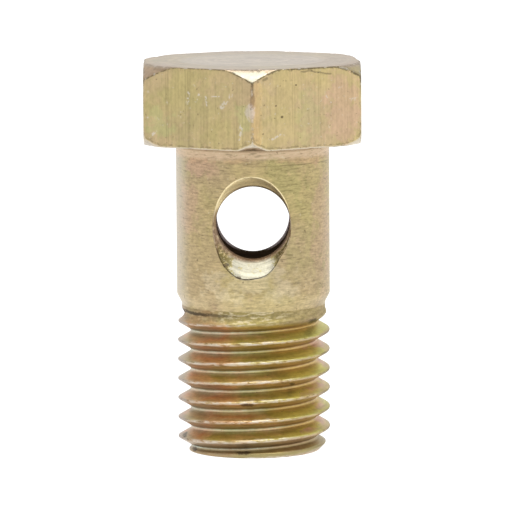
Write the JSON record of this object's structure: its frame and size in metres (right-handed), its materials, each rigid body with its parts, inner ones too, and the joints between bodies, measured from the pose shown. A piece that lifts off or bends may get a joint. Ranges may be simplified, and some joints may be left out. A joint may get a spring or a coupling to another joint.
{
  "type": "bleeder screw",
  "caption": "Hollow hexagon-head bleeder screw of banjo type: blind axial bore, countersunk cross hole through a plain shank and a fine right-hand thread, in yellow-chromated steel.",
  "frame": {"origin": "centre of the threaded end face, on the screw's axis", "axes": "+Z along the screw's axis from the threaded end to the head; the cross hole runs along Y and a corner of the hexagon faces -Y"},
  "size_m": [0.0166, 0.0192, 0.0301],
  "materials": {
    "yellow_zinc": "satin turned steel with an iridescent yellow-chromate zinc coat"
  },
  "bodies": {
    "root": {"bleeder_screw": "yellow_zinc"}
  },
  "joints": []
}
